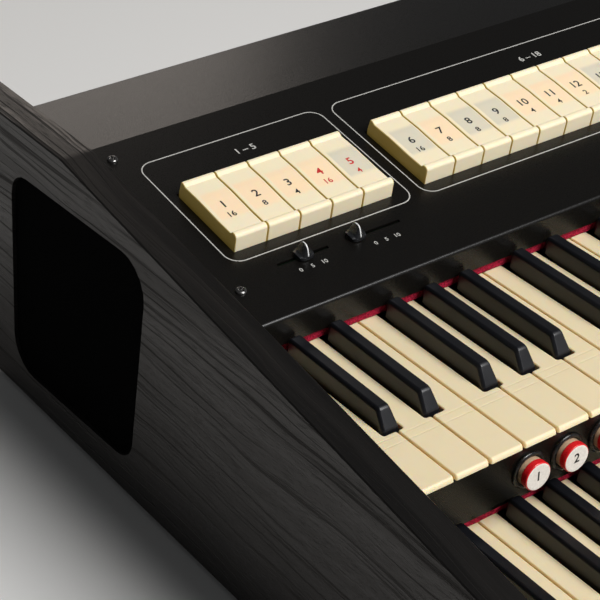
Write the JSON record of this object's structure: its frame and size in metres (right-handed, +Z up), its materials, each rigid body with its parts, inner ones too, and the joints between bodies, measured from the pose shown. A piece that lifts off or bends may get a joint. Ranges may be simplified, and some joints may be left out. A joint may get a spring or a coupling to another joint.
{
  "type": "two-manual electronic organ",
  "caption": "Table-top electronic organ with an upper and a lower manual, rocker tabs and slide controls on a sloping panel, thumb pistons between the manuals and a loudspeaker in each cheek.",
  "frame": {"origin": "middle of the footprint, on the surface that the organ stands on", "axes": "+X to the player's right, +Y to the rear, +Z up"},
  "size_m": [0.894, 0.565, 0.2171],
  "materials": {
    "cheek_foil": "black wood-grain foil, satin",
    "black_board": "black foil, satin",
    "panel_paint": "black powder coat, satin",
    "grille_cloth": "black cloth on a frame",
    "natural": "cream, satin gloss",
    "sharp": "black, matte",
    "felt": "crimson felt",
    "tab": "cream, satin gloss",
    "knob": "black, satin",
    "piston": "white cap on a red lens",
    "steel": "zinc plated",
    "board_green": "circuit board",
    "aluminium": "extruded",
    "speaker": "black",
    "rubber": "matte",
    "socket": "black, moulded"
  },
  "bodies": {
    "case": {"left_cheek": "cheek_foil", "right_cheek": "cheek_foil", "left_grille": "grille_cloth", "right_grille": "grille_cloth", "left_speaker": "speaker", "right_speaker": "speaker", "base_board": "black_board", "front_rail": "black_board", "foot_front_left": "rubber", "foot_front_right": "rubber", "foot_rear_left": "rubber", "foot_rear_right": "rubber", "control_panel": "panel_paint", "rear_panel": "panel_paint", "upper_key_frame": "steel", "lower_key_frame": "steel", "upper_contact_board": "board_green", "lower_contact_board": "board_green", "upper_felt": "felt", "lower_felt": "felt", "upper_slip": "panel_paint", "tab_rail": "black_board", "panel_board": "board_green", "piston_board": "board_green", "power_supply": "steel", "main_board": "board_green", "amplifier": "aluminium", "socket_board": "board_green", "power_inlet": "socket"},
    "switch_rocker": {"power_switch": "socket"},
    "key_c": {"upper_key_c": "natural"},
    "key_c_sharp": {"upper_key_c_sharp": "sharp"},
    "key_d": {"upper_key_d": "natural"},
    "key_d_sharp": {"upper_key_d_sharp": "sharp"},
    "key_e": {"upper_key_e": "natural"},
    "key_f": {"upper_key_f": "natural"},
    "key_f_sharp": {"upper_key_f_sharp": "sharp"},
    "key_g": {"upper_key_g": "natural"},
    "key_g_sharp": {"upper_key_g_sharp": "sharp"},
    "key_a": {"upper_key_a": "natural"},
    "key_a_sharp": {"upper_key_a_sharp": "sharp"},
    "key_b": {"upper_key_b": "natural"},
    "upper_natural_comb": {"upper_naturals": "natural"},
    "upper_sharp_comb": {"upper_sharps": "sharp"},
    "lower_natural_comb": {"lower_naturals": "natural"},
    "lower_sharp_comb": {"lower_sharps": "sharp"},
    "rocker_1": {"tab_1": "tab"},
    "rocker_2": {"tab_2": "tab"},
    "rocker_3": {"tab_3": "tab"},
    "rocker_4": {"tab_4": "tab"},
    "rocker_5": {"tab_5": "tab"},
    "middle_rockers": {"middle_tab_bank": "tab"},
    "right_rockers": {"right_tab_bank": "tab"},
    "volume_knob": {"volume_slider": "knob"},
    "reverb_knob": {"reverb_slider": "knob"},
    "thumb_piston_1": {"piston_1": "piston"},
    "thumb_piston_2": {"piston_2": "piston"},
    "thumb_piston_3": {"piston_3": "piston"},
    "thumb_piston_4": {"piston_4": "piston"},
    "other_pistons": {"piston_bank": "piston"}
  },
  "joints": [
    {"name": "press_key_c", "type": "hinge", "parent": "case", "child": "key_c", "pos_m": [-0.411, 0.0325, 0.1513], "axis": [1, 0, 0], "range_deg": [0, 3.1], "stiffness_Nm_per_rad": 0.8, "springref_deg": -8.59},
    {"name": "press_key_c_sharp", "type": "hinge", "parent": "case", "child": "key_c_sharp", "pos_m": [-0.402, 0.0525, 0.1513], "axis": [1, 0, 0], "range_deg": [0, 3.3], "stiffness_Nm_per_rad": 0.8, "springref_deg": -8.59},
    {"name": "press_key_d", "type": "hinge", "parent": "case", "child": "key_d", "pos_m": [-0.388, 0.0325, 0.1513], "axis": [1, 0, 0], "range_deg": [0, 3.1], "stiffness_Nm_per_rad": 0.8, "springref_deg": -8.59},
    {"name": "press_key_d_sharp", "type": "hinge", "parent": "case", "child": "key_d_sharp", "pos_m": [-0.3735, 0.0525, 0.1513], "axis": [1, 0, 0], "range_deg": [0, 3.3], "stiffness_Nm_per_rad": 0.8, "springref_deg": -8.59},
    {"name": "press_key_e", "type": "hinge", "parent": "case", "child": "key_e", "pos_m": [-0.364, 0.0325, 0.1513], "axis": [1, 0, 0], "range_deg": [0, 3.1], "stiffness_Nm_per_rad": 0.8, "springref_deg": -8.59},
    {"name": "press_key_f", "type": "hinge", "parent": "case", "child": "key_f", "pos_m": [-0.341, 0.0325, 0.1513], "axis": [1, 0, 0], "range_deg": [0, 3.1], "stiffness_Nm_per_rad": 0.8, "springref_deg": -8.59},
    {"name": "press_key_f_sharp", "type": "hinge", "parent": "case", "child": "key_f_sharp", "pos_m": [-0.332, 0.0525, 0.1513], "axis": [1, 0, 0], "range_deg": [0, 3.3], "stiffness_Nm_per_rad": 0.8, "springref_deg": -8.59},
    {"name": "press_key_g", "type": "hinge", "parent": "case", "child": "key_g", "pos_m": [-0.317, 0.0325, 0.1513], "axis": [1, 0, 0], "range_deg": [0, 3.1], "stiffness_Nm_per_rad": 0.8, "springref_deg": -8.59},
    {"name": "press_key_g_sharp", "type": "hinge", "parent": "case", "child": "key_g_sharp", "pos_m": [-0.305, 0.0525, 0.1513], "axis": [1, 0, 0], "range_deg": [0, 3.3], "stiffness_Nm_per_rad": 0.8, "springref_deg": -8.59},
    {"name": "press_key_a", "type": "hinge", "parent": "case", "child": "key_a", "pos_m": [-0.294, 0.0325, 0.1513], "axis": [1, 0, 0], "range_deg": [0, 3.1], "stiffness_Nm_per_rad": 0.8, "springref_deg": -8.59},
    {"name": "press_key_a_sharp", "type": "hinge", "parent": "case", "child": "key_a_sharp", "pos_m": [-0.2785, 0.0525, 0.1513], "axis": [1, 0, 0], "range_deg": [0, 3.3], "stiffness_Nm_per_rad": 0.8, "springref_deg": -8.59},
    {"name": "press_key_b", "type": "hinge", "parent": "case", "child": "key_b", "pos_m": [-0.27, 0.0325, 0.1513], "axis": [1, 0, 0], "range_deg": [0, 3.1], "stiffness_Nm_per_rad": 0.8, "springref_deg": -8.59},
    {"name": "press_upper_naturals", "type": "hinge", "parent": "case", "child": "upper_natural_comb", "pos_m": [0.08, 0.0325, 0.1513], "axis": [1, 0, 0], "range_deg": [0, 3.1], "stiffness_Nm_per_rad": 24, "springref_deg": -8.59},
    {"name": "press_upper_sharps", "type": "hinge", "parent": "case", "child": "upper_sharp_comb", "pos_m": [0.08, 0.0525, 0.1513], "axis": [1, 0, 0], "range_deg": [0, 3.3], "stiffness_Nm_per_rad": 16, "springref_deg": -8.59},
    {"name": "press_lower_naturals", "type": "hinge", "parent": "case", "child": "lower_natural_comb", "pos_m": [0, -0.0791, 0.0793], "axis": [1, 0, 0], "range_deg": [0, 3.1], "stiffness_Nm_per_rad": 29, "springref_deg": -8.59},
    {"name": "press_lower_sharps", "type": "hinge", "parent": "case", "child": "lower_sharp_comb", "pos_m": [0, -0.0591, 0.0793], "axis": [1, 0, 0], "range_deg": [0, 3.3], "stiffness_Nm_per_rad": 20, "springref_deg": -8.59},
    {"name": "rock_tab_1", "type": "hinge", "parent": "case", "child": "rocker_1", "pos_m": [-0.3876, 0.08112, 0.18833], "axis": [1, 0, 0], "range_deg": [-3, 3], "stiffness_Nm_per_rad": 0.5},
    {"name": "rock_tab_2", "type": "hinge", "parent": "case", "child": "rocker_2", "pos_m": [-0.3645, 0.08112, 0.18833], "axis": [1, 0, 0], "range_deg": [-3, 3], "stiffness_Nm_per_rad": 0.5},
    {"name": "rock_tab_3", "type": "hinge", "parent": "case", "child": "rocker_3", "pos_m": [-0.3414, 0.08112, 0.18833], "axis": [1, 0, 0], "range_deg": [-3, 3], "stiffness_Nm_per_rad": 0.5},
    {"name": "rock_tab_4", "type": "hinge", "parent": "case", "child": "rocker_4", "pos_m": [-0.3183, 0.08112, 0.18833], "axis": [1, 0, 0], "range_deg": [-3, 3], "stiffness_Nm_per_rad": 0.5},
    {"name": "rock_tab_5", "type": "hinge", "parent": "case", "child": "rocker_5", "pos_m": [-0.2952, 0.08112, 0.18833], "axis": [1, 0, 0], "range_deg": [-3, 3], "stiffness_Nm_per_rad": 0.5},
    {"name": "rock_middle_tabs", "type": "hinge", "parent": "case", "child": "middle_rockers", "pos_m": [-0.109, 0.08112, 0.18833], "axis": [1, 0, 0], "range_deg": [-3, 3], "stiffness_Nm_per_rad": 6.5},
    {"name": "rock_right_tabs", "type": "hinge", "parent": "case", "child": "right_rockers", "pos_m": [0.2265, 0.08112, 0.18833], "axis": [1, 0, 0], "range_deg": [-3, 3], "stiffness_Nm_per_rad": 7},
    {"name": "slide_volume", "type": "slide", "parent": "case", "child": "volume_knob", "axis": [1, 0, 0], "range_m": [-0.015, 0.015]},
    {"name": "slide_reverb", "type": "slide", "parent": "case", "child": "reverb_knob", "axis": [1, 0, 0], "range_m": [0, 0.03]},
    {"name": "push_piston_1", "type": "slide", "parent": "case", "child": "thumb_piston_1", "axis": [0, 1, 0], "range_m": [0, 0.002], "stiffness_N_per_m": 500, "springref_m": -0.002},
    {"name": "push_piston_2", "type": "slide", "parent": "case", "child": "thumb_piston_2", "axis": [0, 1, 0], "range_m": [0, 0.002], "stiffness_N_per_m": 500, "springref_m": -0.002},
    {"name": "push_piston_3", "type": "slide", "parent": "case", "child": "thumb_piston_3", "axis": [0, 1, 0], "range_m": [0, 0.002], "stiffness_N_per_m": 500, "springref_m": -0.002},
    {"name": "push_piston_4", "type": "slide", "parent": "case", "child": "thumb_piston_4", "axis": [0, 1, 0], "range_m": [0, 0.002], "stiffness_N_per_m": 500, "springref_m": -0.002},
    {"name": "push_other_pistons", "type": "slide", "parent": "case", "child": "other_pistons", "axis": [0, 1, 0], "range_m": [0, 0.002], "stiffness_N_per_m": 4000, "springref_m": -0.002},
    {"name": "tip_power_switch", "type": "hinge", "parent": "case", "child": "switch_rocker", "pos_m": [0.3095, 0.2346, 0.0973], "axis": [1, 0, 0], "range_deg": [-16, 0]}
  ]
}
